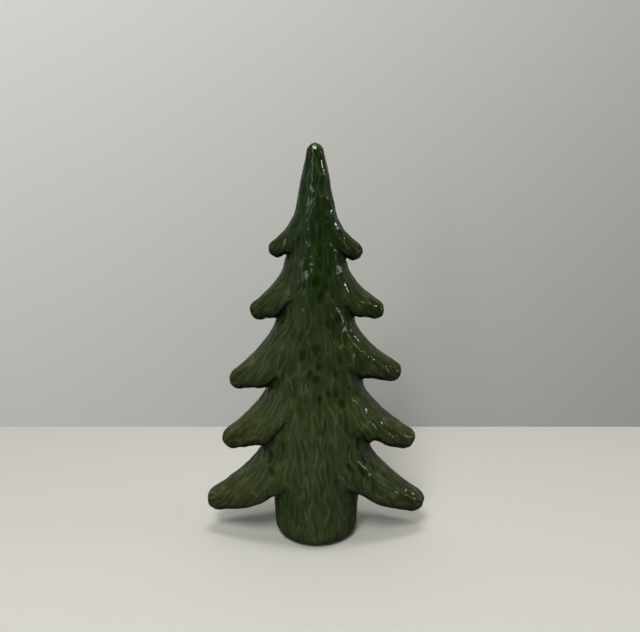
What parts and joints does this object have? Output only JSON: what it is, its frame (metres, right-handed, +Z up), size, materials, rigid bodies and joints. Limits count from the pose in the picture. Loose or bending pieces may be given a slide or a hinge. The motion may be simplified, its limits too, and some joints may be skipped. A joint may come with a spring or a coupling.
{
  "type": "ceramic christmas tree ornament",
  "caption": "Free-standing hollow glazed ceramic Christmas tree with drooping branches either side of a smooth carved body, on felt pads.",
  "frame": {"origin": "on the table top, at the middle of the foot, which is the bottom centre of the bounding box", "axes": "+Z up the trunk to the tip, -Y out of the front, +X to the right of someone who faces the front"},
  "size_m": [0.1375, 0.0492, 0.24],
  "materials": {
    "green_glaze": "glossy dark green glaze that breaks to olive on the ridges of the carving",
    "felt": "pressed wool felt, dark grey"
  },
  "bodies": {
    "root": {"tree_body": "green_glaze", "felt_pad_front_left": "felt", "felt_pad_front_right": "felt", "felt_pad_back_right": "felt", "felt_pad_back_left": "felt"}
  },
  "joints": []
}
